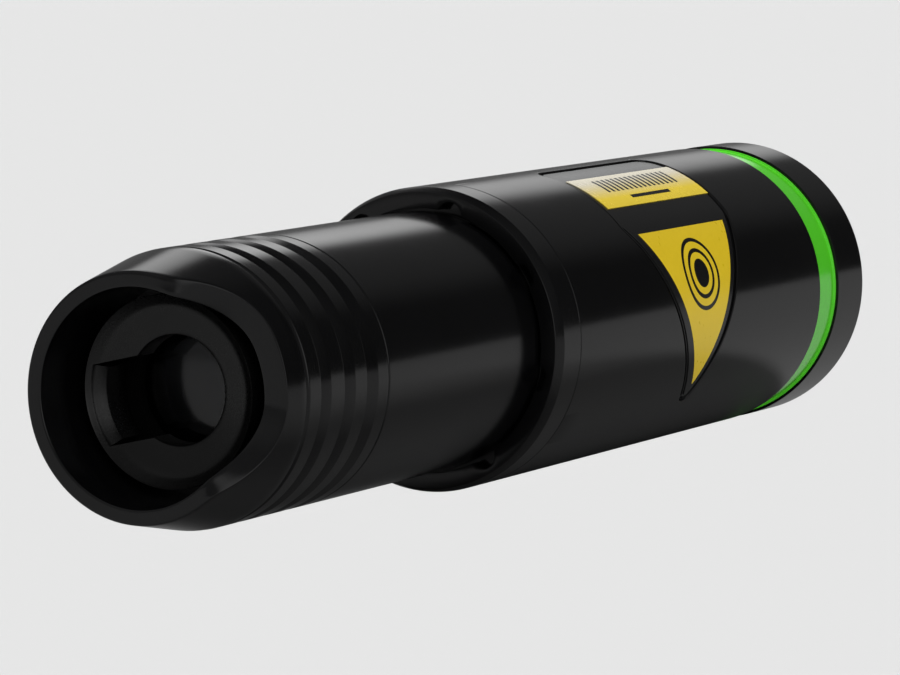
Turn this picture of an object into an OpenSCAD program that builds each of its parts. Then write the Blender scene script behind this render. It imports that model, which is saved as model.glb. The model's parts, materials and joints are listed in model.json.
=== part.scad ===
// Laser collimator for a 1.25 inch eyepiece holder.
// The optical axis is Y. The beam leaves towards -Y and +Z is up. The origin is on the axis,
// in the plane of the front shoulder that stops the collimator against the eyepiece holder.
// Angles go round the Y axis, from 0 at +X to 90 at +Z.

/* [Outside] */
// Diameter of the barrel that goes into the eyepiece holder
barrel_d = 31.7; // [31.5:0.05:31.75]
// Diameter of the body
body_d = 37.4; // [37:0.1:39]
// Length of the nose ring, from its tip to its seam with the barrel
nose_len = 28.8; // [28:0.1:30]
// Length of plain barrel between the nose ring and the shoulder
barrel_len = 36.5; // [36:0.1:45]
// Length of the front collar
collar_len = 5.8; // [5.6:0.1:7]
// Distance from the shoulder to the accent ring
body_len = 77.2; // [77:0.1:80]
// Width of the accent ring
accent_w = 5.4; // [5:0.1:6]
// Length of the tail cap
tail_len = 8.8; // [8.6:0.1:10]

/* [Nose] */
// Outer diameter of the nose at its tip
mouth_d = 28.0; // [27:0.1:28.5]
// Diameter of the nose bore
nose_bore_d = 24.5; // [24:0.1:25]
// Length of the taper at the tip
taper_len = 9.6; // [8:0.05:9.6]
// Depth of the step cut into the crown
crown_depth = 6.85; // [5:0.05:7]
// Direction of the crown's step, in degrees
crown_turn = 13; // [0:1:30]
// Depth of the grip grooves
groove_depth = 0.32; // [0.1:0.02:0.6]
// Outer diameter of the key plate's boss
key_boss_d = 21.8; // [21:0.1:22]
// Diameter of the beam hole
beam_hole_d = 12.4; // [10:0.1:13]
// Width of the keyway beside the beam hole
keyway_w = 9.2; // [8:0.1:10]

/* [Labels] */
// Low end of the label pocket, along the body
pocket_low = 25.9; // [20:0.1:30]
// Length of the label pocket
pocket_len = 30.8; // [30:0.1:34]
// Depth of the label pocket
pocket_depth = 0.35; // [0.3:0.05:0.5]
// Upper edge of the label pocket, in degrees
pocket_top = 86; // [80:1:88]
// Lower tip of the label pocket, in degrees
pocket_tip = -36; // [-40:1:-34]

/* [Controls] */
// Number of switch positions round the tail
switch_steps = 8; // [8]
// Radius of the detent ball
ball_r = 1.5; // [1.4:0.05:1.6]

/* [Fits] */
// Radial clearance of each running fit
run_gap = 0.05; // [0.03:0.01:0.08]
// Gap between faces that turn past each other
face_gap = 0.1; // [0.05:0.01:0.15]

/* [Hidden] */
$fn = 96;
eps = 0.01;
barrel_r = barrel_d / 2;
body_r = body_d / 2;
mouth_r = mouth_d / 2;
nose_bore_r = nose_bore_d / 2;
key_boss_r = key_boss_d / 2;
beam_hole_r = beam_hole_d / 2;

// Stations along the axis
y_seam = -barrel_len;
y_tip = y_seam - nose_len;
y_collar = collar_len;
y_accent = body_len;
y_tail = y_accent + accent_w;
y_end = y_tail + tail_len;

// Nose
key_front = y_tip + crown_depth;
key_seat = y_tip + 14.8;
key_flange = key_seat - 2;
key_floor = key_front + 5.25;
key_rim_r = key_boss_r - 1.3;
keyway_r = key_boss_r - 0.65;
rib_end = key_seat + 2;
mouth_bevel = 0.25;
taper_round = 5.1;
// Each groove: distance from the tip, and width
grooves = [[10.17, 0.75], [13.47, 2.2], [18.68, 2.4], [23.71, 2.55]];

// Front spigot of the barrel, which the nose ring turns on
spigot_r = 12.95;
spigot_front = y_seam - 7.8;
cell_r = 9.35;
cell_bore_r = cell_r + run_gap;
cell_front = key_floor + 0.8;
cell_back = y_seam - 1.5;
lens_r = 8.15;
lens_edge = cell_front + 1.9;
lens_back = lens_edge + 2.5;
lens_bulge = 1.4;
guide_y = y_seam - 4.5;
guide_r = 0.75;
snap_y = y_seam - 6.0;
snap_r = 0.45;
seal_y = y_seam - 2.3;
seal_r = 0.5;

// Barrel, flange and collar
tube_bore_r = 12.5;
tube_web = y_seam + 3.5;
relief_r = barrel_r - 0.3;
flange_y = 1.6;
flange_end = 3.2;
flange_r = 17.3;
sleeve_r = 14.95;
sleeve_end = 22;
collar_bore_r = 16.18;
collar_skirt_r = 17.35;
chamfer_y = 1.37;
chamfer_r = 0.52;
notch_r = 1.6;
notch_first = 31.5;
notch_count = 8;

// Laser module
module_r = 8.0;
module_front = -30;
module_back = 14;
diode_seat = -24.5;
screw_y = 9;
screw_r = 1.5;

// Body, battery and tail
shell_bore_r = 15.0;
neck_r = 17.1;
neck_end = y_tail + 4.0;
accent_r = body_r - 1.05;
accent_lip_r = body_r - 0.35;
accent_lip = 0.25;
edge = 0.35;
board_y = 25;
battery_front = 28.6;
battery_r = 8.45;
battery_back = battery_front + 34.5;
switch_board_y = 71;
base_front = switch_board_y + 1.6;
web_front = base_front + 3;
shaft_r = 2.95;
plate_front = neck_end + 0.3;
plate_back = plate_front + 1.2;
detent_radius = 10;
stop_radius = 13;
stop_r = 0.8;
stop_angle = 270;
ball_angle = 90;
ball_y = plate_front + 0.3 - ball_r;
travel_deg = 360 * (switch_steps - 1) / switch_steps;

// Crown step: half its flat floor in degrees, how softly it meets the tip, and its reach
crown_flat = 14;
crown_soft = 0.9;
crown_reach = 76;

// Label pocket: middle, sharp tip of its triangle, rounding of that tip, and film thicknesses
pocket_y = pocket_low + pocket_len / 2;
pocket_tip_r = 1.6;
pocket_apex = pocket_tip - pocket_tip_r * 180 / PI / body_r;
film = 0.1;
glue = 0.015;
panel_r0 = body_r - pocket_depth + glue;
panel_r1 = panel_r0 + 0.15;
label_r0 = panel_r1 + glue;

// ---------- helpers ----------

// A solid of revolution about Y, from points of [radius, y].
module turned(points) {
    rotate([-90, 0, 0]) rotate_extrude() polygon(points);
}

// A ring or tube about Y between two stations.
module ring(inner_r, outer_r, y0, y1) {
    turned([[inner_r, y0], [outer_r, y0], [outer_r, y1], [inner_r, y1]]);
}

// A plain disc or rod about Y between two stations.
module rod(r, y0, y1) {
    translate([0, y0, 0]) rotate([-90, 0, 0]) cylinder(r = r, h = y1 - y0);
}

// An O-ring or wire ring about Y.
module wire_ring(major_r, minor_r, y) {
    translate([0, y, 0]) rotate([-90, 0, 0]) rotate_extrude()
        translate([major_r, 0]) circle(r = minor_r, $fn = 32);
}

// Places children at an angle round the Y axis.
module at_angle(a) {
    rotate([0, -a, 0]) children();
}

// A radial pin at station y, between two radii, lying along +X before it is turned.
module radial_pin(r, r0, r1, y) {
    translate([r0, y, 0]) rotate([0, 90, 0]) cylinder(r = r, h = r1 - r0);
}

// Part of a ring about Y, from angle a0 through sweep degrees.
module arc_ring(inner_r, outer_r, y0, y1, a0, sweep) {
    rotate([0, -a0 - sweep, 0]) rotate([-90, 0, 0]) rotate_extrude(angle = sweep)
        polygon([[inner_r, y0], [outer_r, y0], [outer_r, y1], [inner_r, y1]]);
}

// A point at radius r, station y and angle a.
function spot(r, y, a) = [r * cos(a), y, r * sin(a)];

// Joins a row of loops, which all have the same number of points, into one closed solid.
module loft(loops) {
    n = len(loops[0]);
    last = len(loops) - 1;
    first_cap = [for (k = [0 : n - 1]) n - 1 - k];
    last_cap = [for (k = [0 : n - 1]) last * n + k];
    sides = [for (i = [0 : last - 1]) for (k = [0 : n - 1])
        [i * n + k, i * n + (k + 1) % n, (i + 1) * n + (k + 1) % n, (i + 1) * n + k]];
    polyhedron([for (loop = loops) each loop], concat([first_cap], sides, [last_cap]));
}

// A patch wrapped round the body. Each row is [angle, low y, high y].
module wrapped(rows, r0, r1) {
    loft([for (row = rows) [
        spot(r0, row[1], row[0]), spot(r1, row[1], row[0]),
        spot(r1, row[2], row[0]), spot(r0, row[2], row[0])]]);
}

// A coil spring about Y between two stations, whose radius runs from coil_r0 to coil_r1.
module coil(coil_r0, coil_r1, wire_r, y0, y1, turns, steps = 16, sides = 6) {
    count = turns * steps;
    loft([for (i = [0 : count]) let (t = i / count)
        [for (k = [0 : sides - 1]) let (b = -360 * k / sides)
            spot(coil_r0 + (coil_r1 - coil_r0) * t + wire_r * cos(b),
                y0 + wire_r + (y1 - y0 - 2 * wire_r) * t + wire_r * sin(b), 360 * i / steps)]]);
}

// ---------- outlines ----------

// How far the crown's step reaches back from the tip, d degrees from its middle, at radius r.
function crown_cut(d, r) =
    let (spread = 40 + 2.2 * (r - nose_bore_r),
        t = max(0, (abs(d) - crown_flat) / spread),
        h = crown_depth * (1 - t * t))
    (h + sqrt(h * h + crown_soft * crown_soft)) / 2;

// Arc length along the pocket's floor, measured up from angle low to angle a.
function rise(a, low) = (a - low) * PI / 180 * body_r;

// Half the width of a triangle that points down, d above its sharp tip, rounded to tip_r.
function triangle_half(d, tip_r) =
    d < 1.5 * tip_r ? sqrt(max(0, tip_r * tip_r - pow(d - 2 * tip_r, 2))) : d * tan(30);

// Half the pocket's width at angle a, with a margin taken off all round.
function pocket_half(a, margin) =
    min(pocket_len / 2 - margin,
        triangle_half(rise(a, pocket_apex) - 2 * margin, pocket_tip_r - margin));

// Rows of a patch in the pocket, from angle high down to angle low.
function pocket_rows(high, low, margin, steps = 40) =
    [for (i = [0 : steps]) let (a = high + (low - high) * i / steps, w = pocket_half(a, margin))
        [a, pocket_y - w, pocket_y + w]];

// Taper of the nose with its rounded back edge, as points of [radius, y] from the tip back.
function taper(steps = 6) =
    let (slope = atan((barrel_r - mouth_r) / taper_len), end = taper_len + taper_round * tan(slope / 2))
    concat([[mouth_r, y_tip]],
        [for (i = [0 : steps]) let (t = slope * (1 - i / steps))
            [barrel_r - taper_round * (1 - cos(t)), y_tip + end - taper_round * sin(t)]]);

// ---------- nose ----------

module crown_step() {
    at_angle(crown_turn)
        loft([for (d = [crown_reach : -4 : -crown_reach]) [
            spot(nose_bore_r - 0.75, y_tip - 2, d),
            spot(barrel_r + 1, y_tip - 2, d),
            spot(barrel_r + 1, y_tip + crown_cut(d, barrel_r), d),
            spot(nose_bore_r - 0.75, y_tip + crown_cut(d, nose_bore_r), d)]]);
}

module nose_ring() {
    color("#15161a") difference() {
        turned(concat(
            [[nose_bore_r, y_tip + mouth_bevel], [nose_bore_r + mouth_bevel, y_tip]],
            taper(),
            [for (g = grooves) each [
                [barrel_r, y_tip + g[0]],
                [barrel_r - groove_depth, y_tip + g[0] + 0.1],
                [barrel_r, y_tip + g[0] + g[1]]]],
            [[barrel_r, y_seam - face_gap], [spigot_r + run_gap, y_seam - face_gap],
                [spigot_r + run_gap, snap_y + snap_r + 0.1],
                [spigot_r + 0.6, snap_y + snap_r + 0.1],
                [spigot_r + 0.6, snap_y - snap_r - 0.1],
                [spigot_r + run_gap, snap_y - snap_r - 0.1],
                [spigot_r + run_gap, rib_end],
                [cell_r + run_gap, rib_end], [cell_r + run_gap, key_seat],
                [nose_bore_r, key_seat]]));
        crown_step();
    }
}

module key_plate() {
    color("#202126") difference() {
        turned([
            [beam_hole_r, key_front + 1.95], [key_rim_r, key_front + 1.25],
            [key_boss_r, key_front], [key_boss_r, key_flange], [nose_bore_r, key_flange],
            [nose_bore_r, key_seat], [cell_r + run_gap, key_seat],
            [cell_r + run_gap, key_floor], [beam_hole_r, key_floor]]);
        intersection() {
            rod(keyway_r, key_front - 1, key_floor + 1);
            at_angle(crown_turn + 180)
                translate([0, key_front - 2, -keyway_w / 2])
                    cube([key_boss_r, key_floor - key_front + 4, keyway_w]);
        }
    }
}

module nose_snap_ring() {
    color("silver") wire_ring(spigot_r + 0.03, snap_r, snap_y);
}

module nose_seal() {
    color("#101010") wire_ring(spigot_r - seal_r, seal_r, seal_y);
}

// ---------- focusing lens ----------

module lens_cell() {
    color("#2a2b2e") difference() {
        turned([
            [lens_r, cell_front], [cell_r, cell_front], [cell_r, cell_back],
            [lens_r - 1.15, cell_back], [lens_r - 1.15, lens_back], [lens_r, lens_back]]);
        at_angle(90)
            translate([cell_r - 0.95, guide_y - 2, -guide_r - run_gap])
                cube([3, cell_back - guide_y + 3, 2 * (guide_r + run_gap)]);
    }
}

module collimating_lens() {
    ball = (lens_r * lens_r + lens_bulge * lens_bulge) / (2 * lens_bulge);
    color("#9fc4d8") intersection() {
        rod(lens_r, lens_edge - lens_bulge - 1, lens_back);
        translate([0, lens_edge - lens_bulge + ball, 0]) sphere(r = ball);
    }
}

module lens_retainer() {
    color("#1a1a1c") ring(lens_r - 0.65, lens_r, lens_edge - 1.8, lens_edge - 0.3);
}

module focus_guide_pin() {
    color("silver") at_angle(90) radial_pin(guide_r, cell_r - 0.8, spigot_r - 0.05, guide_y);
}

// ---------- barrel and laser module ----------

module barrel_tube() {
    color("#15161a") difference() {
        turned([
            [cell_bore_r, spigot_front], [spigot_r, spigot_front],
            [spigot_r, snap_y - snap_r], [spigot_r - snap_r, snap_y - snap_r],
            [spigot_r - snap_r, snap_y + snap_r], [spigot_r, snap_y + snap_r],
            [spigot_r, seal_y - seal_r], [spigot_r - 2 * seal_r, seal_y - seal_r],
            [spigot_r - 2 * seal_r, seal_y + seal_r], [spigot_r, seal_y + seal_r],
            [spigot_r, y_seam], [barrel_r, y_seam], [barrel_r, 0],
            [relief_r, 0], [relief_r, flange_y],
            [flange_r, flange_y], [flange_r, flange_end], [sleeve_r, flange_end],
            [sleeve_r, sleeve_end], [tube_bore_r, sleeve_end], [tube_bore_r, tube_web],
            [cell_bore_r, tube_web]]);
        at_angle(90) radial_pin(guide_r, cell_r - 1, spigot_r + 1, guide_y);
        for (a = [90 : 120 : 330])
            at_angle(a) radial_pin(screw_r, tube_bore_r - 1, sleeve_r + 1, screw_y);
    }
}

module module_bushing() {
    color("#b9bcc0") ring(module_r, tube_bore_r, module_front, module_front + 6);
}

module module_housing() {
    color("#b89442") turned([
        [4.6, module_front], [module_r, module_front], [module_r, module_back],
        [6, module_back], [6, diode_seat + 2.5], [3.2, diode_seat + 2.5],
        [3.2, diode_seat], [4.6, diode_seat]]);
}

module laser_diode() {
    color("#c9a545") {
        turned([
            [0, diode_seat - 4.7], [3.2, diode_seat - 4.7], [3.2, diode_seat - 1.2],
            [4.5, diode_seat - 1.2], [4.5, diode_seat], [0, diode_seat]]);
        for (x = [-1.3, 0, 1.3])
            translate([x, 0, 0]) rod(0.25, diode_seat, diode_seat + 6.3);
    }
}

module driver_board() {
    color("#1f6b3a") translate([-5, diode_seat + 6.5, -0.6]) cube([10, 28, 1.2]);
    color("#202020") translate([-1.5, diode_seat + 16, 0.6]) cube([3, 4, 1.1]);
    color("#c9b27a") for (y = [10, 24, 28])
        translate([-1, diode_seat + y, 0.6]) cube([2, 1.2, 0.8]);
}

module alignment_screws() {
    color("#303236") for (a = [90 : 120 : 330])
        at_angle(a) difference() {
            radial_pin(screw_r, module_r, sleeve_r, screw_y);
            translate([sleeve_r - 1.8, screw_y, 0]) rotate([0, 90, 0])
                cylinder(r = 0.85, h = 3, $fn = 6);
        }
}

// ---------- body ----------

module front_collar() {
    color("#15161a") difference() {
        turned([
            [collar_bore_r, 0], [body_r - chamfer_r, 0], [body_r, chamfer_y],
            [body_r, y_collar], [collar_skirt_r, y_collar], [collar_skirt_r, flange_y],
            [collar_bore_r, flange_y]]);
        for (i = [0 : notch_count - 1])
            at_angle(notch_first + 360 * i / notch_count)
                translate([barrel_r, 0, 0]) rod(notch_r, -1, flange_y + eps);
    }
}

module body_shell() {
    color("#15161a") difference() {
        turned([
            [shell_bore_r, flange_end], [collar_skirt_r, flange_end],
            [collar_skirt_r, y_collar], [body_r, y_collar], [body_r, y_accent - edge],
            [body_r - edge, y_accent], [neck_r, y_accent],
            [neck_r, y_tail + 1.5], [neck_r - 2 * seal_r, y_tail + 1.5],
            [neck_r - 2 * seal_r, y_tail + 2.5], [neck_r, y_tail + 2.5],
            [neck_r, neck_end], [shell_bore_r, neck_end]]);
        wrapped(pocket_rows(pocket_top, pocket_tip + 0.2, 0), body_r - pocket_depth, body_r + 1);
    }
}

module label_panel() {
    color("#0c0c0e") wrapped(pocket_rows(pocket_top - 0.3, pocket_tip + 0.6, 0.12),
        panel_r0, panel_r1);
}

module serial_label() {
    color("#e3c33a") wrapped([for (a = [72.5 : -1.5 : 51.5]) [a, 27.3, 56.4]],
        label_r0, label_r0 + film);
}

module target_label() {
    color("#e0bd2c") wrapped(pocket_rows(41.6, pocket_tip + 2.5, 0.9),
        label_r0, label_r0 + film);
}

// ---------- battery ----------

module wires() {
    for (x = [-2.5, 2.5])
        color(x < 0 ? "#b02020" : "#202020") translate([x, 0, 0])
            rod(0.55, diode_seat + 34.5, board_y);
}

module contact_board() {
    color("#1f6b3a") rod(shell_bore_r - 0.1, board_y, board_y + 1.6);
}

module battery_contact() {
    color("#c9a545") rod(3, board_y + 1.6, battery_front);
}

module battery_sleeve() {
    color("#3a3b3f") turned([
        [battery_r + 0.3, board_y + 1.6], [shell_bore_r - 0.1, board_y + 1.6],
        [shell_bore_r - 0.1, board_y + 4.6], [battery_r + 1.8, board_y + 4.6],
        [battery_r + 1.8, battery_back - 5], [shell_bore_r - 0.1, battery_back - 5],
        [shell_bore_r - 0.1, battery_back - 2], [battery_r + 0.3, battery_back - 2]]);
}

module battery_cell() {
    color("#d8d8dc") turned([
        [0, battery_front], [3.3, battery_front], [3.3, battery_front + 1],
        [battery_r - 0.6, battery_front + 1], [battery_r, battery_front + 1.6],
        [battery_r, battery_back - 0.4], [battery_r - 0.4, battery_back], [0, battery_back]]);
}

module battery_spring() {
    color("silver") coil(4, 7, 0.4, battery_back, switch_board_y, 5);
}

// ---------- rotary switch and tail ----------

module switch_board() {
    color("#1f6b3a") rod(shell_bore_r - 0.1, switch_board_y, base_front);
}

module switch_base() {
    color("#3a3b3f") difference() {
        turned([
            [shaft_r + run_gap, web_front], [11.5, web_front], [11.5, base_front],
            [shell_bore_r - 0.05, base_front], [shell_bore_r - 0.05, neck_end],
            [shaft_r + run_gap, neck_end]]);
        at_angle(ball_angle) translate([detent_radius, 0, 0])
            rod(ball_r + run_gap, neck_end - 7.6, neck_end + 1);
        at_angle(stop_angle) translate([stop_radius, 0, 0])
            rod(stop_r, neck_end - 6.6, neck_end + 1);
    }
}

module stop_pin() {
    color("silver") at_angle(stop_angle) translate([stop_radius, 0, 0])
        rod(stop_r, neck_end - 6.6, plate_back - 0.2);
}

module detent_ball() {
    color("silver") at_angle(ball_angle) translate([detent_radius, ball_y, 0])
        sphere(r = ball_r);
}

module detent_spring() {
    color("silver") at_angle(ball_angle) translate([detent_radius, 0, 0])
        coil(1.05, 1.05, 0.2, neck_end - 7.6, ball_y - 1.15, 5, 12);
}

module accent_ring() {
    color("#3fae1e") turned([
        [neck_r, y_accent], [accent_r, y_accent], [accent_r, y_tail], [accent_lip_r, y_tail],
        [accent_lip_r, y_tail + accent_lip], [neck_r, y_tail + accent_lip]]);
}

module tail_seal() {
    color("#101010") wire_ring(neck_r - seal_r, seal_r, y_tail + 2);
}

module tail_cap() {
    front = y_tail + accent_lip + face_gap;
    color("#15161a") turned([
        [neck_r + run_gap, front], [body_r - edge, front], [body_r, front + edge],
        [body_r, y_end - 0.3], [body_r - 0.3, y_end],
        [0, y_end], [0, y_end - 2], [shaft_r, y_end - 2], [shaft_r, plate_back],
        [14.9, plate_back], [14.9, plate_front], [neck_r + run_gap, plate_front]]);
}

module detent_plate() {
    color("#a9acb0") difference() {
        ring(shaft_r, 14.9, plate_front, plate_back);
        ring(detent_radius - 1.1, detent_radius + 1.1, plate_front - 1, plate_front + 0.45);
        for (i = [0 : switch_steps - 1])
            at_angle(ball_angle + 360 * i / switch_steps)
                translate([detent_radius, plate_front - 0.9, 0]) sphere(r = ball_r + 0.1);
        arc_ring(stop_radius - stop_r - 0.1, stop_radius + stop_r + 0.1,
            plate_front - 1, plate_back + 1, stop_angle - 5, travel_deg + 10);
    }
}

module switch_shaft() {
    color("silver") turned([
        [0, base_front + 1.2], [shaft_r, base_front + 1.2], [shaft_r, web_front - 0.9],
        [2.5, web_front - 0.9], [2.5, web_front - 0.2], [shaft_r, web_front - 0.2],
        [shaft_r, y_end - 2], [0, y_end - 2]]);
}

module shaft_clip() {
    color("#8a8c90") ring(2.5, 5.5, web_front - 0.9, web_front - 0.2);
}

module switch_wiper() {
    color("#c9a545") {
        rod(3.5, base_front + 0.4, base_front + 1.2);
        translate([-1.25, base_front + 0.4, 0]) cube([2.5, 0.8, 9.5]);
    }
}

nose_ring();
key_plate();
lens_cell();
collimating_lens();
lens_retainer();
focus_guide_pin();
nose_snap_ring();
nose_seal();
barrel_tube();
module_bushing();
module_housing();
laser_diode();
driver_board();
alignment_screws();
front_collar();
body_shell();
label_panel();
serial_label();
target_label();
wires();
contact_board();
battery_contact();
battery_sleeve();
battery_cell();
battery_spring();
switch_board();
switch_base();
stop_pin();
detent_ball();
detent_spring();
accent_ring();
tail_seal();
tail_cap();
detent_plate();
switch_shaft();
shaft_clip();
switch_wiper();
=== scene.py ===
import json
import math

import bmesh
import bpy
import numpy as np
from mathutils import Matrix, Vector


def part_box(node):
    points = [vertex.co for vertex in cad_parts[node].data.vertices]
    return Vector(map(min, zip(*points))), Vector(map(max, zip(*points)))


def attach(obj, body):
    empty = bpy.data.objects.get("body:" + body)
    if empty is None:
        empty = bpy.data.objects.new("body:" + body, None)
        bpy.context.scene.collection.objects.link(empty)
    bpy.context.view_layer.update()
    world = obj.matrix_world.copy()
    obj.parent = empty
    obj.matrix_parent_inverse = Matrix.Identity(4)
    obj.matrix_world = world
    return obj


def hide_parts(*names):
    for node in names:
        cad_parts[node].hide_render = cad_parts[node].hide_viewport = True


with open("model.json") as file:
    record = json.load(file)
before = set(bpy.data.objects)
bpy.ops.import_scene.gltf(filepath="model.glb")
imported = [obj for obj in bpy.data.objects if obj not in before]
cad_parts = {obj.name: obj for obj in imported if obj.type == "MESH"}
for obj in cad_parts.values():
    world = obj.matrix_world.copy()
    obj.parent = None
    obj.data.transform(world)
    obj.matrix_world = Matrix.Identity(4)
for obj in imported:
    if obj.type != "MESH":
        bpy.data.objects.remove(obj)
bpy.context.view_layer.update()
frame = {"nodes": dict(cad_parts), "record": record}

# Lengths below are in millimetres along the optical axis Y or out from it. Angles are in degrees
# round that axis, from 0 at +X to 90 at +Z. The frame itself is in metres.
MM = 0.001


def span(node):
    """Front end, back end and outer radius of a turned CAD node."""
    low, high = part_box(node)
    return low.y / MM, high.y / MM, high.x / MM


TIP, NOSE_BACK, BARREL_R = span("nose_ring")
KEY_FRONT, KEY_BACK, BORE_R = span("key_plate")
SPIGOT_FRONT, SLEEVE_END, FLANGE_R = span("barrel_tube")
SHOULDER, COLLAR_BACK, BODY_R = span("front_collar")
FLANGE_BACK, NECK_END, _ = span("body_shell")
BODY_END, ACCENT_END, ACCENT_R = span("accent_ring")
TAIL_FRONT, TAIL_END, TAIL_R = span("tail_cap")
_, _, CELL_R = span("lens_cell")
LENS_FRONT, LENS_BACK, LENS_R = span("collimating_lens")

GAP = 0.05


# ---------- meshes ----------

def rounded(corners, steps=4):
    """Outline points of (radius, y) from closed corners of (radius, y, rounding)."""
    points = []
    count = len(corners)
    for i, (r, y, rounding) in enumerate(corners):
        here = np.array((r, y))
        if rounding == 0:
            points.append(here)
            continue
        before = np.array(corners[i - 1][:2]) - here
        after = np.array(corners[(i + 1) % count][:2]) - here
        before_length = np.linalg.norm(before)
        after_length = np.linalg.norm(after)
        before /= before_length
        after /= after_length
        half = math.acos(np.clip(before @ after, -1, 1)) / 2
        if half > 1.56:
            points.extend([here] * (steps + 1))
            continue
        reach = min(rounding / math.tan(half), 0.45 * before_length, 0.45 * after_length)
        bisector = (before + after) / np.linalg.norm(before + after)
        centre = here + bisector * reach / math.cos(half)
        start = here + before * reach - centre
        end = here + after * reach - centre
        turn = math.pi - 2 * half
        for k in range(steps + 1):
            t = k / steps
            points.append(centre + (start * math.sin((1 - t) * turn)
                                    + end * math.sin(t * turn)) / math.sin(turn))
    return np.array(points)


def make_piece(name, verts, faces, material, smooth_angle=38):
    """An object from points in millimetres, cleaned, facing outwards and smooth but for its hard edges."""
    mesh = bpy.data.meshes.new(name)
    mesh.from_pydata([tuple(v) for v in np.asarray(verts) * MM], [], faces)
    build = bmesh.new()
    build.from_mesh(mesh)
    bmesh.ops.remove_doubles(build, verts=build.verts, dist=1e-7)
    bmesh.ops.dissolve_degenerate(build, edges=build.edges, dist=1e-8)
    bmesh.ops.recalc_face_normals(build, faces=build.faces)
    loose = [e for e in build.edges if not e.link_faces]
    bmesh.ops.delete(build, geom=loose, context="EDGES")
    build.to_mesh(mesh)
    build.free()
    mesh.polygons.foreach_set("use_smooth", [True] * len(mesh.polygons))
    mesh.set_sharp_from_angle(angle=math.radians(smooth_angle))
    piece = bpy.data.objects.new(name, mesh)
    bpy.context.scene.collection.objects.link(piece)
    weighted = piece.modifiers.new("even_shading", "WEIGHTED_NORMAL")
    weighted.keep_sharp = True
    mesh.materials.append(material)
    return piece


def turned_round(name, outlines, angles, material, closed=True):
    """A piece turned round Y. outlines is one outline, or one for each angle, of (radius, y) points."""
    outlines = np.asarray(outlines, float)
    if outlines.ndim == 2:
        outlines = np.repeat(outlines[None], len(angles), axis=0)
    turn = np.radians(angles)[:, None]
    radius = outlines[:, :, 0]
    verts = np.stack([radius * np.cos(turn), outlines[:, :, 1], radius * np.sin(turn)], axis=-1)
    rows, count = verts.shape[:2]
    last = count if closed else count - 1
    faces = []
    for i in range(rows):
        after = (i + 1) % rows
        for k in range(last):
            right = (k + 1) % count
            faces.append((i * count + k, i * count + right, after * count + right, after * count + k))
    return make_piece(name, verts.reshape(-1, 3), faces, material)


def film(name, rows, low_r, high_r, material, edge=0.03):
    """A thin label wrapped round the body. Each row is (angle, low y, high y)."""
    verts, faces = [], []
    for angle, low, high in rows:
        c, s = math.cos(math.radians(angle)), math.sin(math.radians(angle))
        inset = min(edge, 0.45 * (high - low))
        across = [(low_r, low), (high_r - edge, low), (high_r, low + inset)]
        across += [(high_r, high - inset), (high_r - edge, high), (low_r, high)]
        verts += [(r * c, y, r * s) for r, y in across]
    count = 6
    for i in range(len(rows) - 1):
        for k in range(count):
            right = (k + 1) % count
            faces.append((i * count + k, i * count + right,
                          (i + 1) * count + right, (i + 1) * count + k))
    faces.append(tuple(range(count)))
    faces.append(tuple(range((len(rows) - 1) * count, len(rows) * count))[::-1])
    return make_piece(name, verts, faces, material, 30)


# ---------- materials ----------

def link(tree, source, target):
    tree.links.new(source, target)


def finish(name, dark, light, rough, grain, bump=0.0, metallic=0.0, specular=0.5, coat=0.0):
    """A material whose colour and roughness wander with a fine grain.

    dark and light are the colours it wanders between, rough the two roughnesses, grain the
    size of the grain along X, Y and Z in mm, and bump how deep it stands, in mm.
    """
    mat = bpy.data.materials.new(name)
    mat.use_nodes = True
    tree = mat.node_tree
    shader = tree.nodes["Principled BSDF"]
    shader.inputs["Metallic"].default_value = metallic
    shader.inputs["Specular IOR Level"].default_value = specular
    shader.inputs["Coat Weight"].default_value = coat
    shader.inputs["Coat Roughness"].default_value = 0.12
    coords = tree.nodes.new("ShaderNodeTexCoord")
    stretch = tree.nodes.new("ShaderNodeMapping")
    stretch.inputs["Scale"].default_value = [1 / (size * MM) for size in grain]
    link(tree, coords.outputs["Object"], stretch.inputs["Vector"])
    fine = tree.nodes.new("ShaderNodeTexNoise")
    fine.inputs["Scale"].default_value = 1.0
    fine.inputs["Detail"].default_value = 4.0
    link(tree, stretch.outputs["Vector"], fine.inputs["Vector"])
    broad = tree.nodes.new("ShaderNodeTexNoise")
    broad.inputs["Scale"].default_value = 90.0
    broad.inputs["Detail"].default_value = 3.0
    link(tree, coords.outputs["Object"], broad.inputs["Vector"])
    both = tree.nodes.new("ShaderNodeMath")
    both.operation = "ADD"
    link(tree, fine.outputs["Fac"], both.inputs[0])
    link(tree, broad.outputs["Fac"], both.inputs[1])
    tint = tree.nodes.new("ShaderNodeValToRGB")
    tint.color_ramp.elements[0].position = 0.35
    tint.color_ramp.elements[0].color = (*dark, 1)
    tint.color_ramp.elements[1].position = 0.7
    tint.color_ramp.elements[1].color = (*light, 1)
    half = tree.nodes.new("ShaderNodeMath")
    half.operation = "MULTIPLY"
    half.inputs[1].default_value = 0.5
    link(tree, both.outputs[0], half.inputs[0])
    link(tree, half.outputs[0], tint.inputs["Fac"])
    link(tree, tint.outputs["Color"], shader.inputs["Base Color"])
    gloss = tree.nodes.new("ShaderNodeMapRange")
    gloss.inputs["From Min"].default_value = 0.35
    gloss.inputs["From Max"].default_value = 0.65
    gloss.inputs["To Min"].default_value = rough[0]
    gloss.inputs["To Max"].default_value = rough[1]
    link(tree, half.outputs[0], gloss.inputs["Value"])
    link(tree, gloss.outputs["Result"], shader.inputs["Roughness"])
    if bump:
        relief = tree.nodes.new("ShaderNodeBump")
        relief.inputs["Strength"].default_value = 1.0
        relief.inputs["Distance"].default_value = bump * MM
        link(tree, fine.outputs["Fac"], relief.inputs["Height"])
        link(tree, relief.outputs["Normal"], shader.inputs["Normal"])
    return mat


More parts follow.
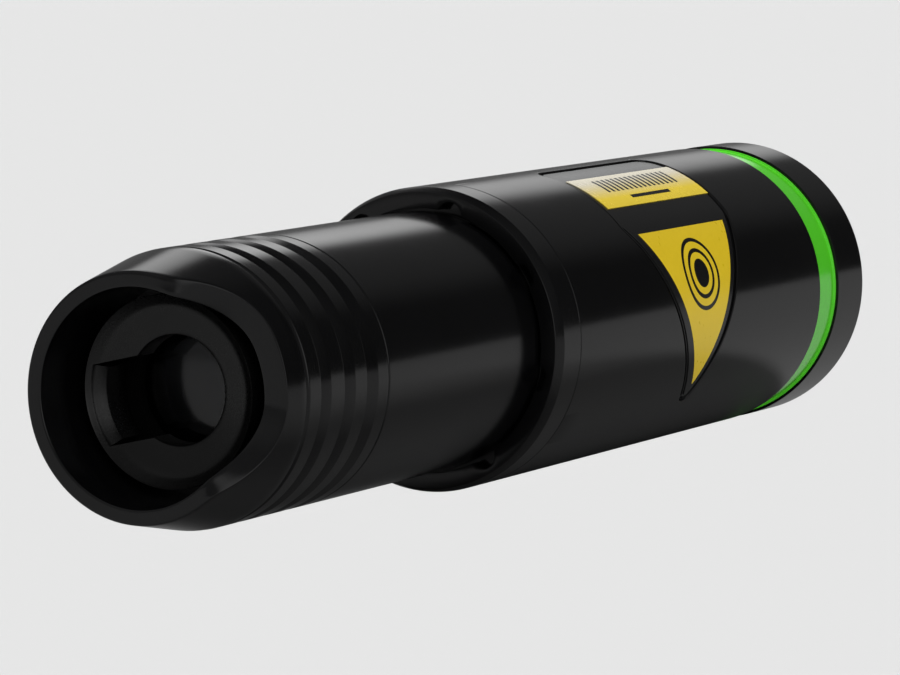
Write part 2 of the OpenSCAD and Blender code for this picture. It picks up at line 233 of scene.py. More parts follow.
def glass(name, tint, roughness, rim_shade_r):
    """Glass whose gloss fades from the axis out to a given radius, in mm. The fading is painted shade: it
    darkens the lens towards its rim, where the beam hole shades it.
    """
    mat = finish(name, tint, tint, (roughness, roughness + 0.01), (4, 4, 4))
    tree = mat.node_tree
    shader = tree.nodes["Principled BSDF"]
    shader.inputs["Transmission Weight"].default_value = 1.0
    shader.inputs["IOR"].default_value = 1.6
    coords = tree.nodes.new("ShaderNodeTexCoord")
    flat = tree.nodes.new("ShaderNodeMapping")
    flat.inputs["Scale"].default_value = [1 / (rim_shade_r * MM), 0, 1 / (rim_shade_r * MM)]
    link(tree, coords.outputs["Object"], flat.inputs["Vector"])
    inwards = tree.nodes.new("ShaderNodeTexGradient")
    inwards.gradient_type = "SPHERICAL"
    link(tree, flat.outputs["Vector"], inwards.inputs["Vector"])
    share = tree.nodes.new("ShaderNodeMapRange")
    share.interpolation_type = "SMOOTHSTEP"
    share.inputs["From Max"].default_value = 0.8
    share.inputs["To Min"].default_value = 0.03
    share.inputs["To Max"].default_value = 0.6
    link(tree, inwards.outputs["Fac"], share.inputs["Value"])
    link(tree, share.outputs["Result"], shader.inputs["Specular IOR Level"])
    return mat


def paint_glare_upwards(mat, colour, low, high):
    """Paints a highlight into a material: fades its colour to another colour between two heights, in mm."""
    tree = mat.node_tree
    shader = tree.nodes["Principled BSDF"]
    source = shader.inputs["Base Color"].links[0].from_socket
    coords = tree.nodes.new("ShaderNodeTexCoord")
    split = tree.nodes.new("ShaderNodeSeparateXYZ")
    link(tree, coords.outputs["Object"], split.inputs["Vector"])
    share = tree.nodes.new("ShaderNodeMapRange")
    share.inputs["From Min"].default_value = low * MM
    share.inputs["From Max"].default_value = high * MM
    link(tree, split.outputs["Z"], share.inputs["Value"])
    blend = tree.nodes.new("ShaderNodeMix")
    blend.data_type = "RGBA"
    link(tree, share.outputs["Result"], blend.inputs["Factor"])
    link(tree, source, blend.inputs["A"])
    blend.inputs["B"].default_value = (*colour, 1)
    link(tree, blend.outputs["Result"], shader.inputs["Base Color"])
    return mat


ANODISED = finish("anodised_black", (0.0008, 0.0008, 0.0009), (0.0016, 0.0016, 0.0018),
                  (0.14, 0.18), (1.6, 0.09, 1.6), bump=0.0005)
KEY_BLACK = finish("key_black", (0.0008, 0.0008, 0.0008), (0.0018, 0.0018, 0.0018),
                   (0.24, 0.38), (0.3, 0.3, 0.3), bump=0.012)
INNER_BLACK = finish("inner_black", (0.0008, 0.0008, 0.0008), (0.002, 0.002, 0.002),
                     (0.5, 0.6), (0.3, 0.1, 0.3), bump=0.002, specular=0.03)
PANEL = finish("panel_film", (0.003, 0.003, 0.003), (0.005, 0.005, 0.005),
               (0.22, 0.26), (0.6, 0.6, 0.6), bump=0.0006)
YELLOW = finish("yellow_film", (0.56, 0.40, 0.012), (0.60, 0.43, 0.016),
                (0.26, 0.32), (0.8, 0.8, 0.8), bump=0.0006)
# The serial label's top fades to pale grey: a painted highlight that stands in for the glare of the sky
# lamp above.
YELLOW_WITH_PAINTED_GLARE = paint_glare_upwards(finish("yellow_film_with_painted_glare", (0.56, 0.42, 0.03), (0.60, 0.45, 0.04),
                                  (0.24, 0.30), (0.8, 0.8, 0.8), bump=0.0006),
                           (0.40, 0.37, 0.29), 15.6, 17.3)
GREEN = finish("accent_green", (0.06, 0.45, 0.012), (0.07, 0.50, 0.016),
               (0.16, 0.2), (0.5, 0.12, 0.5), bump=0.0004, specular=0.7, coat=0.6)
STEEL = finish("steel", (0.52, 0.53, 0.55), (0.66, 0.67, 0.69),
               (0.22, 0.34), (0.5, 0.06, 0.5), bump=0.001, metallic=1.0)
SPRING_STEEL = finish("spring_steel", (0.42, 0.43, 0.46), (0.58, 0.59, 0.62),
                      (0.25, 0.35), (0.3, 0.3, 0.3), metallic=1.0)
RUBBER = finish("black_rubber", (0.014, 0.014, 0.014), (0.024, 0.024, 0.024),
                (0.6, 0.75), (0.2, 0.2, 0.2), bump=0.004)
ALUMINIUM = finish("bare_aluminium", (0.62, 0.63, 0.65), (0.76, 0.77, 0.79),
                   (0.25, 0.4), (0.8, 0.07, 0.8), bump=0.0015, metallic=1.0)
BRASS = finish("brass", (0.60, 0.42, 0.16), (0.76, 0.57, 0.26),
               (0.2, 0.34), (0.8, 0.07, 0.8), bump=0.0015, metallic=1.0)
BOARD = finish("circuit_board", (0.01, 0.12, 0.035), (0.02, 0.2, 0.06),
               (0.3, 0.42), (0.7, 0.7, 0.7), bump=0.004, coat=0.4)
PLASTIC = finish("black_plastic", (0.018, 0.018, 0.02), (0.03, 0.03, 0.032),
                 (0.45, 0.6), (0.25, 0.25, 0.25), bump=0.004)
WIRE = finish("wire_red", (0.36, 0.014, 0.014), (0.5, 0.03, 0.025),
              (0.3, 0.4), (0.5, 0.5, 0.5), bump=0.002)
JACKET = finish("cell_jacket", (0.62, 0.63, 0.66), (0.74, 0.75, 0.78),
                (0.25, 0.38), (1.2, 1.2, 1.2), bump=0.002, coat=0.3)
DETENT = finish("detent_steel", (0.36, 0.37, 0.39), (0.5, 0.51, 0.53),
                (0.2, 0.3), (0.4, 0.4, 0.4), bump=0.001, metallic=1.0)
# Painted shade: the lens's gloss fades out to 5.5 mm from its axis, darkening its rim where the beam hole
# shades it.
LENS = glass("lens_glass", (0.03, 0.033, 0.04), 0.12, 5.5)

FINISHES = {
    "anodised_black": ANODISED, "key_black": KEY_BLACK, "inner_black": INNER_BLACK,
    "lens_glass": LENS, "steel": STEEL, "spring_steel": SPRING_STEEL, "black_rubber": RUBBER,
    "bare_aluminium": ALUMINIUM, "brass": BRASS, "circuit_board": BOARD,
    "black_plastic": PLASTIC, "panel_film": PANEL, "yellow_film": YELLOW,
    "accent_green": GREEN, "wire_red": WIRE, "cell_jacket": JACKET, "detent_steel": DETENT,
}


def place(piece, body, slot, *nodes):
    """Puts a piece on its body and hides the CAD nodes that it stands for. The slot is not used."""
    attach(piece, body)
    if nodes:
        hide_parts(*nodes)


# ---------- nose ----------

CROWN_TURN = 13
CROWN_DEPTH = KEY_FRONT - TIP
CROWN_FLAT = 14
CROWN_SOFT = 1.5
CROWN_END = 90
CROWN_FADE = 14
TAPER_LENGTH = 9.6
TAPER_ROUND = 5.1
MOUTH_R = 14.0
GROOVES = [(10.17, 0.75), (13.47, 2.2), (18.68, 2.4), (23.71, 2.55)]
GROOVE_DEPTH = 0.62
SLOPE_DEPTH = 0.42
SPIGOT_R = 12.95
RIB_LENGTH = 2.0


def crown_cut(d, r):
    """How far the crown's step reaches back from the tip, d degrees from its middle."""
    t = max(0.0, (abs(d) - CROWN_FLAT) / (40 + 2.2 * (r - BORE_R)))
    h = CROWN_DEPTH * (1 - t * t)
    return (h + math.hypot(h, CROWN_SOFT)) / 2


TAPER_SLOPE = math.atan2(BARREL_R - MOUTH_R, TAPER_LENGTH)
TAPER_END = TAPER_LENGTH + TAPER_ROUND * math.tan(TAPER_SLOPE / 2)


def taper_radius(y):
    """Radius of the nose: a cone, then a rounded edge, then the straight barrel."""
    left = TAPER_END - (y - TIP)
    if left <= 0:
        return BARREL_R
    if left >= TAPER_ROUND * math.sin(TAPER_SLOPE):
        return MOUTH_R + (y - TIP) * math.tan(TAPER_SLOPE)
    return BARREL_R - TAPER_ROUND + math.sqrt(TAPER_ROUND ** 2 - left ** 2)


def nose_outline(angle):
    d = (angle - CROWN_TURN + 180) % 360 - 180
    faded = min(1.0, max(0.0, (CROWN_END - abs(d)) / CROWN_FADE))
    inner_y = TIP + crown_cut(d, BORE_R) * faded
    outer_y = inner_y
    for _ in range(6):
        outer_y = TIP + crown_cut(d, taper_radius(outer_y)) * faded
    outer_r = taper_radius(outer_y)
    face = [(BORE_R + (outer_r - BORE_R) * t, inner_y + (outer_y - inner_y) * t, 0)
            for t in (0.3, 0.5, 0.7)]
    taper_end = TIP + TAPER_END
    taper = [(taper_radius(outer_y + (taper_end - outer_y) * t), outer_y + (taper_end - outer_y) * t, 0)
             for t in np.linspace(0.08, 1, 14)]
    corners = [(BORE_R, KEY_BACK, 0), (BORE_R, inner_y, 0.28), *face, (outer_r, outer_y, 0.3), *taper]
    for start, width in GROOVES:
        step = min(0.6, 0.6 * width)
        corners += [(BARREL_R, TIP + start, 0.12), (BARREL_R - GROOVE_DEPTH, TIP + start + 0.1, 0.06),
                    (BARREL_R - GROOVE_DEPTH, TIP + start + step, 0.04),
                    (BARREL_R - SLOPE_DEPTH, TIP + start + step + 0.05, 0.06),
                    (BARREL_R, TIP + start + width, 0.3)]
    corners += [(BARREL_R, NOSE_BACK, 0.18), (SPIGOT_R + GAP, NOSE_BACK, 0.1),
                (SPIGOT_R + GAP, KEY_BACK + RIB_LENGTH, 0), (CELL_R + GAP, KEY_BACK + RIB_LENGTH, 0),
                (CELL_R + GAP, KEY_BACK, 0)]
    return rounded(corners)


FINE = np.arange(0, 360, 1.0)
nose_ring = turned_round("nose_ring_visual", [nose_outline(a) for a in FINE], FINE, ANODISED)
place(nose_ring, "nose", "anodised_black", "nose_ring")

KEY_BOSS_R = 10.9
KEY_RIM_R = 9.6
KEYWAY_R = 10.25
KEYWAY_HALF = 4.6
KEYWAY_SCOOP = 1.2
BEAM_HOLE_R = 6.2
KEY_FLANGE = KEY_BACK - 2
KEY_FLOOR = KEY_FRONT + 5.25


def keyway_edge(angle):
    """Radius of the beam hole's edge, with its keyway on the side away from the crown's step."""
    d = abs((angle - CROWN_TURN) % 360 - 180)
    if d >= 90:
        return BEAM_HOLE_R
    side = KEYWAY_HALF / max(math.sin(math.radians(d)), 1e-6)
    return max(BEAM_HOLE_R, min(KEYWAY_R, side))


def key_face(r):
    """Height of the key plate's dished face at radius r."""
    dish = KEY_FRONT + 1.25 + 0.7 * (KEY_RIM_R - r) / (KEY_RIM_R - BEAM_HOLE_R)
    bevel = KEY_FRONT + 1.25 * (KEY_BOSS_R - r) / (KEY_BOSS_R - KEY_RIM_R)
    blend = 0.2
    gap = dish - bevel
    return (dish + bevel - math.hypot(gap, blend)) / 2


def key_outline(angle):
    edge = keyway_edge(angle)
    knee = max(edge + 0.3, KEY_RIM_R)
    lip = 0.14
    scoop, wall = (KEYWAY_SCOOP, (2.1, 1.75, 0.95)) if edge == KEYWAY_R else (0.0, (3.4, 3.0, 2.6))
    face = [(edge, key_face(edge) + lip), (edge + 0.3 * lip, key_face(edge) + 0.3 * lip),
            (edge + lip, key_face(edge + lip))]
    face += [(r, key_face(r)) for r in np.linspace(edge + lip, knee, 10)[1:]]
    face += [(r, key_face(r)) for r in np.linspace(knee, KEY_BOSS_R - 0.12, 8)[1:]]
    rim = [(KEY_BOSS_R - 0.12, KEY_FRONT + 0.09), (KEY_BOSS_R - 0.05, KEY_FRONT + 0.02),
           (KEY_BOSS_R, KEY_FRONT + 0.1)]
    rest = [(KEY_BOSS_R, KEY_FLANGE), (BORE_R, KEY_FLANGE), (BORE_R, KEY_BACK),
            (CELL_R + GAP, KEY_BACK), (CELL_R + GAP, KEY_FLOOR), (edge - scoop, KEY_FLOOR),
            (edge - scoop, KEY_FRONT + wall[0]), (edge - 0.9 * scoop, KEY_FRONT + wall[1]),
            (edge - 0.15 * scoop, KEY_FRONT + wall[2])]
    return face[:-1] + rim + rest


corner_out = math.degrees(math.asin(KEYWAY_HALF / KEYWAY_R))
corner_in = math.degrees(math.asin(KEYWAY_HALF / BEAM_HOLE_R))
KEY_ANGLES = np.sort(np.concatenate([
    np.arange(0, 360, 1.5) + 0.4,
    [(CROWN_TURN + 180 + side * c) % 360 for side in (-1, 1)
     for c in (corner_out - 0.05, corner_out + 0.05, corner_in)]]))
key_plate = turned_round("key_plate_visual", [key_outline(a) for a in KEY_ANGLES], KEY_ANGLES, KEY_BLACK)
place(key_plate, "nose", "key_black", "key_plate")


LENS_CURVE = 45
lens_face = [(r, LENS_FRONT + 0.02 + LENS_CURVE - math.sqrt(LENS_CURVE ** 2 - r * r))
             for r in np.linspace(0, LENS_R - 0.06, 14)]
lens = turned_round("lens_visual", lens_face + [(LENS_R, lens_face[-1][1] + 0.06), (LENS_R, LENS_BACK),
                                                (0, LENS_BACK)], FINE, LENS)
place(lens, "lens", "lens_glass", "collimating_lens")


# ---------- barrel and body ----------

TUBE_BORE_R = 12.5
SNAP_Y = NOSE_BACK + 0.1 - 6.0
SEAL_Y = NOSE_BACK + 0.1 - 2.3
SEAL_R = 0.5
SNAP_R = 0.45
SEAM = NOSE_BACK + 0.1
RELIEF_R = BARREL_R - 0.3
FLANGE_FRONT = 1.6
SLEEVE_R = 14.95
TUBE_WEB = SEAM + 3.5

barrel = turned_round("barrel_visual", rounded([
    (CELL_R + GAP, SPIGOT_FRONT, 0.1), (SPIGOT_R, SPIGOT_FRONT, 0.2),
    (SPIGOT_R, SNAP_Y - SNAP_R, 0), (SPIGOT_R - SNAP_R, SNAP_Y - SNAP_R, 0),
    (SPIGOT_R - SNAP_R, SNAP_Y + SNAP_R, 0), (SPIGOT_R, SNAP_Y + SNAP_R, 0),
    (SPIGOT_R, SEAL_Y - SEAL_R, 0), (SPIGOT_R - 2 * SEAL_R, SEAL_Y - SEAL_R, 0),
    (SPIGOT_R - 2 * SEAL_R, SEAL_Y + SEAL_R, 0), (SPIGOT_R, SEAL_Y + SEAL_R, 0),
    (SPIGOT_R, SEAM, 0.1), (BARREL_R, SEAM, 0.22), (BARREL_R, SHOULDER, 0.1),
    (RELIEF_R, SHOULDER, 0.1), (RELIEF_R, FLANGE_FRONT, 0.1), (FLANGE_R, FLANGE_FRONT, 0),
    (FLANGE_R, FLANGE_BACK, 0), (SLEEVE_R, FLANGE_BACK, 0), (SLEEVE_R, SLEEVE_END, 0.3),
    (TUBE_BORE_R, SLEEVE_END, 0.3), (TUBE_BORE_R, TUBE_WEB, 0), (CELL_R + GAP, TUBE_WEB, 0)]),
    FINE, ANODISED)
place(barrel, "body", "anodised_black", "barrel_tube")

COLLAR_BORE_R = 16.18
COLLAR_SKIRT_R = 17.35
CHAMFER_R = 0.52
CHAMFER_Y = 1.37
NOTCH_R = 1.6
NOTCH_COUNT = 8
NOTCH_FIRST = 31.5


def collar_bore(angle):
    """Radius of the collar's bore, with its half-round spanner notches."""
    pitch = 360 / NOTCH_COUNT
    d = math.radians((angle - NOTCH_FIRST + pitch / 2) % pitch - pitch / 2)
    reach = NOTCH_R ** 2 - (BARREL_R * math.sin(d)) ** 2
    if reach <= 0:
        return COLLAR_BORE_R
    return max(COLLAR_BORE_R, BARREL_R * math.cos(d) + math.sqrt(reach))


def collar_outline(angle):
    bore = collar_bore(angle)
    return rounded([
        (bore, SHOULDER, 0.06), (BODY_R - CHAMFER_R, SHOULDER, 0.12), (BODY_R, CHAMFER_Y, 0.25),
        (BODY_R, COLLAR_BACK, 0.16), (COLLAR_SKIRT_R, COLLAR_BACK, 0.05),
        (COLLAR_SKIRT_R, FLANGE_FRONT, 0), (bore, FLANGE_FRONT, 0)])


COLLAR_ANGLES = np.arange(0, 360, 0.75)
collar = turned_round("front_collar_visual", [collar_outline(a) for a in COLLAR_ANGLES],
                      COLLAR_ANGLES, ANODISED)
place(collar, "body", "anodised_black", "front_collar")

# The label pocket: straight sides, then a triangle with a rounded tip that points down.
POCKET_LOW = 25.9
POCKET_LENGTH = 30.8
POCKET_Y = POCKET_LOW + POCKET_LENGTH / 2
POCKET_DEPTH = 0.35
POCKET_TOP = 86
POCKET_TIP = -36
TIP_ROUND = 1.6
TOP_ROUND = 2.8
DEG = 180 / (math.pi * BODY_R)
POCKET_APEX = POCKET_TIP - TIP_ROUND * DEG


def pocket_inside(angle, y):
    """Distance from a point on the body to the pocket's outline, positive inside it."""
    s = (angle - POCKET_APEX) / DEG
    u = abs(y - POCKET_Y)
    top = (POCKET_TOP - POCKET_APEX) / DEG - s
    side = POCKET_LENGTH / 2 - u
    slant = s * math.sin(math.radians(30)) - u * math.cos(math.radians(30))
    down = 2 * TIP_ROUND - s
    away = math.hypot(u, down)
    if down > 0 and down >= away * math.cos(math.radians(60)):
        return TIP_ROUND - away
    if top < TOP_ROUND and side < TOP_ROUND:
        return TOP_ROUND - math.hypot(TOP_ROUND - top, TOP_ROUND - side)
    return min(top, side, slant)


def pocket_half(angle, margin):
    """Half the pocket's width at an angle, with a margin taken off all round."""
    s = (angle - POCKET_APEX) / DEG - 2 * margin
    tip = TIP_ROUND - margin
    if s < 1.5 * tip:
        half = math.sqrt(max(0.0, tip * tip - (s - 2 * tip) ** 2))
    else:
        half = s * math.tan(math.radians(30))
    half = min(POCKET_LENGTH / 2 - margin, half)
    top = (POCKET_TOP - angle) / DEG - margin
    corner = TOP_ROUND - margin
    if top < corner:
        sag = corner - math.sqrt(max(0.0, corner ** 2 - (corner - max(top, 0.0)) ** 2))
        half = min(half, POCKET_LENGTH / 2 - margin - sag)
    return half


EDGE_MARGINS = [-0.14, -0.08, -0.03, 0.0, 0.015, 0.03, 0.06]
EDGE_DEPTHS = [0.0, 0.02, 0.065, 0.14, 0.30, 0.335, POCKET_DEPTH]


def body_radius(angle, y):
    return BODY_R - float(np.interp(pocket_inside(angle, y), EDGE_MARGINS, EDGE_DEPTHS))


NECK_R = 17.1
SHELL_BORE_R = 15.0
EDGE = 0.35
SEAL_FRONT = ACCENT_END - 0.25 + 1.5


def pocket_columns(angle):
    """Stations along the body at an angle, which follow the pocket's edges."""
    if angle < POCKET_APEX:
        back = min(1.0, (POCKET_APEX - angle) / 60)
        angle_used = POCKET_APEX
    else:
        back = 0.0
        angle_used = min(angle, POCKET_TOP - 0.02 * DEG)
    halves = []
    for k, margin in enumerate(EDGE_MARGINS):
        least = 0.42 - 0.05 * k
        at_tip = max(pocket_half(angle_used, margin), least)
        full = POCKET_LENGTH / 2 - margin
        halves.append(at_tip + (full - at_tip) * back)
    inner = halves[-1]
    across = [-h for h in halves] + [inner * t for t in np.linspace(-0.8, 0.8, 7)] + halves[::-1]
    return [POCKET_Y + w for w in across]


def body_outline(angle):
    front = rounded([(SHELL_BORE_R, FLANGE_BACK, 0), (COLLAR_SKIRT_R, FLANGE_BACK, 0),
                     (COLLAR_SKIRT_R, COLLAR_BACK, 0.05), (BODY_R, COLLAR_BACK, 0.16),
                     (BODY_R, COLLAR_BACK + 5, 0), (BODY_R, BODY_END - 5, 0),
                     (SHELL_BORE_R, BODY_END, 0)])[:-2]
    pocket = [(body_radius(angle, y), y) for y in pocket_columns(angle)]
    back = rounded([(SHELL_BORE_R, BODY_END - 9, 0), (BODY_R, BODY_END - 9, 0),
                    (BODY_R, BODY_END - EDGE, 0.12), (BODY_R - EDGE, BODY_END, 0.1),
                    (NECK_R, BODY_END, 0), (NECK_R, SEAL_FRONT, 0),
                    (NECK_R - 2 * SEAL_R, SEAL_FRONT, 0), (NECK_R - 2 * SEAL_R, SEAL_FRONT + 1, 0),
                    (NECK_R, SEAL_FRONT + 1, 0), (NECK_R, NECK_END, 0.2),
                    (SHELL_BORE_R, NECK_END, 0.2)])[1:]
    return np.concatenate([front, pocket, back])


near_edge = [POCKET_TOP - m * DEG for m in EDGE_MARGINS]
corner = list(np.arange(POCKET_TOP - 0.5, POCKET_TOP - 6, -0.5))
middle = list(np.arange(POCKET_TOP - 7, -28, -1.25))
tip = list(np.arange(-28, POCKET_APEX - 1.5, -0.3))
around = list(np.arange(POCKET_APEX - 4, POCKET_TOP - 360 + 2, -2.0))
BODY_ANGLES = near_edge + corner + middle + tip + around
body = turned_round("body_visual", [body_outline(a) for a in BODY_ANGLES], BODY_ANGLES, ANODISED)
place(body, "body", "anodised_black", "body_shell")


def pocket_rows(angles, margin):
    return [(a, POCKET_Y - pocket_half(a, margin), POCKET_Y + pocket_half(a, margin))
            for a in angles]


# ---------- labels ----------

_, _, PANEL_R = span("label_panel")
_, _, LABEL_R = span("target_label")
FLOOR_R = BODY_R - POCKET_DEPTH + 0.015
LABEL_BASE_R = PANEL_R + 0.015
PRINT = 0.012


def label_angles(top, margin):
    """Angles of a label's rows from its top to just above its tip, where they lie closer together."""
    return list(np.arange(top, -28, -1.25)) + list(np.linspace(-28, POCKET_TIP + margin * DEG + 0.1, 18))


panel_margin = 0.6
panel_top = POCKET_TOP - panel_margin * DEG - 0.01
panel_angles = [panel_top - d for d in (0, 0.05, 0.15, 0.35, 0.7, 1.2, 2, 3)]
panel_angles += label_angles(POCKET_TOP - 5.5, panel_margin)
panel = film("label_panel_visual", pocket_rows(panel_angles, panel_margin), FLOOR_R, PANEL_R, PANEL)
place(panel, "body", "panel_film", "label_panel")

SERIAL_LOW, SERIAL_HIGH, _ = span("serial_label")
SERIAL_TOP = 72.5
SERIAL_BOTTOM = 51.5
serial = film("serial_label_visual",
              [(a, SERIAL_LOW, SERIAL_HIGH) for a in np.linspace(SERIAL_TOP, SERIAL_BOTTOM, 22)],
              LABEL_BASE_R, LABEL_R, YELLOW_WITH_PAINTED_GLARE)
place(serial, "body", "yellow_film", "serial_label")

STICKER_TOP = 41.6
sticker_margin = 0.9
sticker = film("target_label_visual",
               pocket_rows(label_angles(STICKER_TOP, sticker_margin), sticker_margin),
               LABEL_BASE_R, LABEL_R, PANEL)
place(sticker, "body", "panel_film", "target_label")

SIGN_TOP = 37.5
SIGN_HALF = 12.4
SIGN_Y = 41.6
SIGN_HEIGHT = SIGN_HALF * math.sqrt(3)
sign_rows = []
for t in np.linspace(0, 0.995, 50):
    half = SIGN_HALF * (1 - t)
    sign_rows.append((SIGN_TOP - t * SIGN_HEIGHT * DEG, SIGN_Y - half, SIGN_Y + half))
sign = film("target_sign", sign_rows, LABEL_R - PRINT, LABEL_R + PRINT, YELLOW, edge=0.01)
place(sign, "body", "yellow_film")


def printed(name, strips, base_r, material):
    """Thin ink wrapped round the body. A strip is (closed, rows), a row (y, arc) points in mm across it."""
    verts, faces = [], []
    for closed, rows in strips:
        first = len(verts)
        for row in rows:
            for points, r in ((row, base_r), (row[::-1], base_r + PRINT)):
                for y, arc in points:
                    a = arc / BODY_R
                    verts.append((r * math.cos(a), y, r * math.sin(a)))
        ring = 2 * len(rows[0])
        count = len(rows)
        for i in range(count if closed else count - 1):
            here, after = first + ring * i, first + ring * ((i + 1) % count)
            for k in range(ring):
                right = (k + 1) % ring
                faces.append((here + k, here + right, after + right, after + k))
        if not closed:
            end = first + ring * (count - 1)
            faces.append(tuple(range(first, first + ring)))
            faces.append(tuple(range(end, end + ring))[::-1])
    return make_piece(name, verts, faces, material, 30)


def arc_at(angle):
    return math.radians(angle) * BODY_R


def circle_strip(y, arc, radii, count=72):
    turn = [2 * math.pi * i / count for i in range(count)]
    return True, [[(y + r * math.cos(t), arc + r * math.sin(t)) for r in radii] for t in turn]


# A plain target: a dot and two rings.
MARK_Y = SIGN_Y
MARK_ARC = arc_at(17.5)
strips = [circle_strip(MARK_Y, MARK_ARC, radii)
          for radii in (np.linspace(0, 1.9, 5), (2.8, 3.35), (4.3, 4.85))]
mark = printed("target_mark", strips, LABEL_R + PRINT, PANEL)
place(mark, "body", "panel_film")

# Even bars and one plain line on the serial label.
BAR_TOP = 69.5
BAR_BOTTOM = 60.5
BAR_PITCH = 1.3
BAR_WIDTH = 0.62
LINE_ANGLE = 56.3
bars = []
for y in np.arange(SERIAL_LOW + 5.0, SERIAL_HIGH - 4.0, BAR_PITCH):
    bars.append((False, [((y, arc_at(a)), (y + BAR_WIDTH, arc_at(a)))
                         for a in np.linspace(BAR_TOP, BAR_BOTTOM, 10)]))
line_half = 0.3
bars.append((False, [((y, arc_at(LINE_ANGLE) + line_half), (y, arc_at(LINE_ANGLE) - line_half))
                     for y in np.linspace(SERIAL_LOW + 9, SERIAL_HIGH - 9, 6)]))
serial_bars = printed("serial_bars", bars, LABEL_R, PANEL)
place(serial_bars, "body", "panel_film")


# ---------- accent ring and tail ----------

ACCENT_WALL = 0.25
ACCENT_FLOOR_R = BODY_R - 0.55
accent = turned_round("accent_ring_visual", rounded([
    (NECK_R, BODY_END, 0), (ACCENT_FLOOR_R, BODY_END, 0.02),
    (ACCENT_FLOOR_R, ACCENT_END - ACCENT_WALL, 0.08), (ACCENT_R, ACCENT_END - ACCENT_WALL, 0.08),
    (ACCENT_R, TAIL_FRONT - GAP, 0.02), (NECK_R, TAIL_FRONT - GAP, 0)]), FINE, GREEN)
place(accent, "body", "accent_green", "accent_ring")

CAP_INNER_R = NECK_R + GAP
PLATE_FRONT, PLATE_BACK, PLATE_R = span("detent_plate")
_, SHAFT_END, SHAFT_R = span("switch_shaft")
tail_cap = turned_round("tail_cap_visual", rounded([
    (CAP_INNER_R, TAIL_FRONT, 0.05), (TAIL_R, TAIL_FRONT, 0.06),
    (TAIL_R, TAIL_END - 0.3, 0.25), (TAIL_R - 0.3, TAIL_END, 0.25), (0, TAIL_END, 0),
    (0, SHAFT_END, 0), (SHAFT_R, SHAFT_END, 0), (SHAFT_R, PLATE_BACK, 0), (PLATE_R, PLATE_BACK, 0),
    (PLATE_R, PLATE_FRONT, 0), (CAP_INNER_R, PLATE_FRONT, 0)]), FINE, ANODISED)
place(tail_cap, "tail", "anodised_black", "tail_cap")


# ---------- finishes of the CAD pieces that stay ----------

shown_slots = {part["node"]: part["material_slot"] for part in frame["record"]["subparts"]}
for node, piece in frame["nodes"].items():
    if not piece.hide_render:
        piece.data.materials.clear()
        piece.data.materials.append(FINISHES[shown_slots[node]])


# ---------- stage ----------

# Studio: each sky lamp is compass angle, elevation, half angles of its core and rim, and strength.
SKY = [
    (113.1, 18.8, 3, 11.5, 0.76),
    (119.5, 29, 4, 13, 1.2),
    (118, 4, 8, 26, 0.09),
    (90, 32, 5, 24, 0.07),
    (200, 20, 30, 80, 0.15),
    (-45, 35, 20, 85, 0.12),
    (-20, 12, 8, 30, 0.6),
]
SKY_BASE = 0.03
KEY_POWER = 8.6
FILL_POWER = 3.1
FILL_SOFTNESS = 70
FILL_FROM = (-45, 46)
KEY_SOFTNESS = 40
KEY_FROM = (161, 38)
FLOOR_TONE = 0.308
BENCH_TONE = 0.13
SKY_SEEN = 0.79


def backdrop_material(name, brightness):
    mat = bpy.data.materials.new(name)
    mat.use_nodes = True
    shader = mat.node_tree.nodes["Principled BSDF"]
    shader.inputs["Base Color"].default_value = (brightness, brightness, brightness, 1)
    shader.inputs["Roughness"].default_value = 0.9
    shader.inputs["Specular IOR Level"].default_value = 0.0
    return mat


def plane(name, height, half, material):
    mesh = bpy.data.meshes.new(name)
    mesh.from_pydata([(-half, -half, height), (half, -half, height), (half, half, height),
                      (-half, half, height)], [], [(0, 1, 2, 3)])
    mesh.materials.append(material)
    piece = bpy.data.objects.new(name, mesh)
    bpy.context.scene.collection.objects.link(piece)
    return piece


# The floor that shows lies well below. The bench lies right under the object, is seen only in its
# gloss, and takes its shadow there.
floor = plane("floor", -0.35, 60.0, backdrop_material("floor_paper", FLOOR_TONE))
floor.visible_glossy = False
bench = plane("bench", -(BODY_R + 0.4) * MM, 60.0, backdrop_material("bench_paper", BENCH_TONE))
bench.visible_camera = False
bench.visible_diffuse = False
bench.visible_shadow = False
bench.visible_transmission = False

world = bpy.data.worlds.new("studio")
bpy.context.scene.world = world
world.use_nodes = True
sky = world.node_tree
background = sky.nodes["Background"]
background.inputs["Color"].default_value = (1, 1, 1, 1)
direction = sky.nodes.new("ShaderNodeTexCoord")


def glow(aim, inner, outer, strength):
    """A soft round light in the sky: its direction, half angles of its core and rim, and strength."""
    dot = sky.nodes.new("ShaderNodeVectorMath")
    dot.operation = "DOT_PRODUCT"
    dot.inputs[1].default_value = Vector(aim).normalized()
    link(sky, direction.outputs["Generated"], dot.inputs[0])
    spread = sky.nodes.new("ShaderNodeMapRange")
    spread.interpolation_type = "SMOOTHSTEP"
    spread.inputs["From Min"].default_value = math.cos(math.radians(outer))
    spread.inputs["From Max"].default_value = math.cos(math.radians(inner))
    spread.inputs["To Max"].default_value = strength
    link(sky, dot.outputs["Value"], spread.inputs["Value"])
    return spread.outputs["Result"]


def towards(around, up):
    """A direction from its compass angle, 0 at +X and 90 at +Y, and its elevation."""
    a, e = math.radians(around), math.radians(up)
    return (math.cos(e) * math.cos(a), math.cos(e) * math.sin(a), math.sin(e))


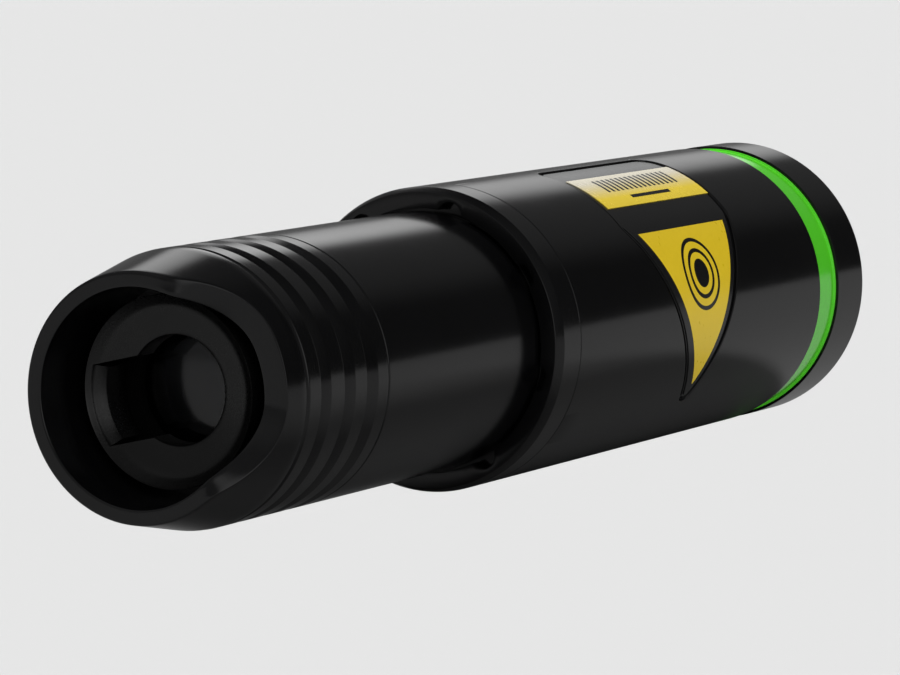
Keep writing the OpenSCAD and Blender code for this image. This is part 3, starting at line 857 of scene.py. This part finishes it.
total = None
for lamp in SKY:
    part = glow(towards(lamp[0], lamp[1]), *lamp[2:])
    if total is None:
        total = part
    else:
        add = sky.nodes.new("ShaderNodeMath")
        add.operation = "ADD"
        link(sky, total, add.inputs[0])
        link(sky, part, add.inputs[1])
        total = add.outputs[0]
base = sky.nodes.new("ShaderNodeMath")
base.operation = "ADD"
base.inputs[1].default_value = SKY_BASE
link(sky, total, base.inputs[0])
seen = sky.nodes.new("ShaderNodeLightPath")
mix = sky.nodes.new("ShaderNodeMix")
mix.data_type = "FLOAT"
link(sky, seen.outputs["Is Camera Ray"], mix.inputs["Factor"])
link(sky, base.outputs[0], mix.inputs["A"])
mix.inputs["B"].default_value = SKY_SEEN
link(sky, mix.outputs["Result"], background.inputs["Strength"])


def sun(name, power, softness, source):
    light = bpy.data.lights.new(name, "SUN")
    light.energy = power
    light.angle = math.radians(softness)
    lamp = bpy.data.objects.new(name, light)
    lamp.rotation_euler = Vector(towards(*source)).to_track_quat("Z", "Y").to_euler()
    bpy.context.scene.collection.objects.link(lamp)
    return lamp


# Both lamps only light what is matt. The gloss comes from the sky lamps.
for lamp in (sun("key", KEY_POWER, KEY_SOFTNESS, KEY_FROM),
             sun("fill", FILL_POWER, FILL_SOFTNESS, FILL_FROM)):
    lamp.visible_glossy = False

# The camera looks back along the object from its front right, a little from above.
AZIMUTH = 28.47
ELEVATION = 6.31
DISTANCE = 0.5554
AIM = Vector((0.0038, SHOULDER * MM, 0.0006))
camera_data = bpy.data.cameras.new("camera")
camera_data.lens = 183.33
camera_data.sensor_width = 36.0
camera_data.clip_start = 0.01
camera_data.clip_end = 500.0
camera = bpy.data.objects.new("camera", camera_data)
forward = Vector((-math.sin(math.radians(AZIMUTH)) * math.cos(math.radians(ELEVATION)),
                  math.cos(math.radians(AZIMUTH)) * math.cos(math.radians(ELEVATION)),
                  -math.sin(math.radians(ELEVATION))))
camera.location = AIM - forward * DISTANCE
camera.rotation_euler = forward.to_track_quat("-Z", "Y").to_euler()
bpy.context.scene.collection.objects.link(camera)
bpy.context.scene.camera = camera
bpy.context.scene.view_settings.view_transform = "Standard"
bpy.context.scene.view_settings.look = "None"
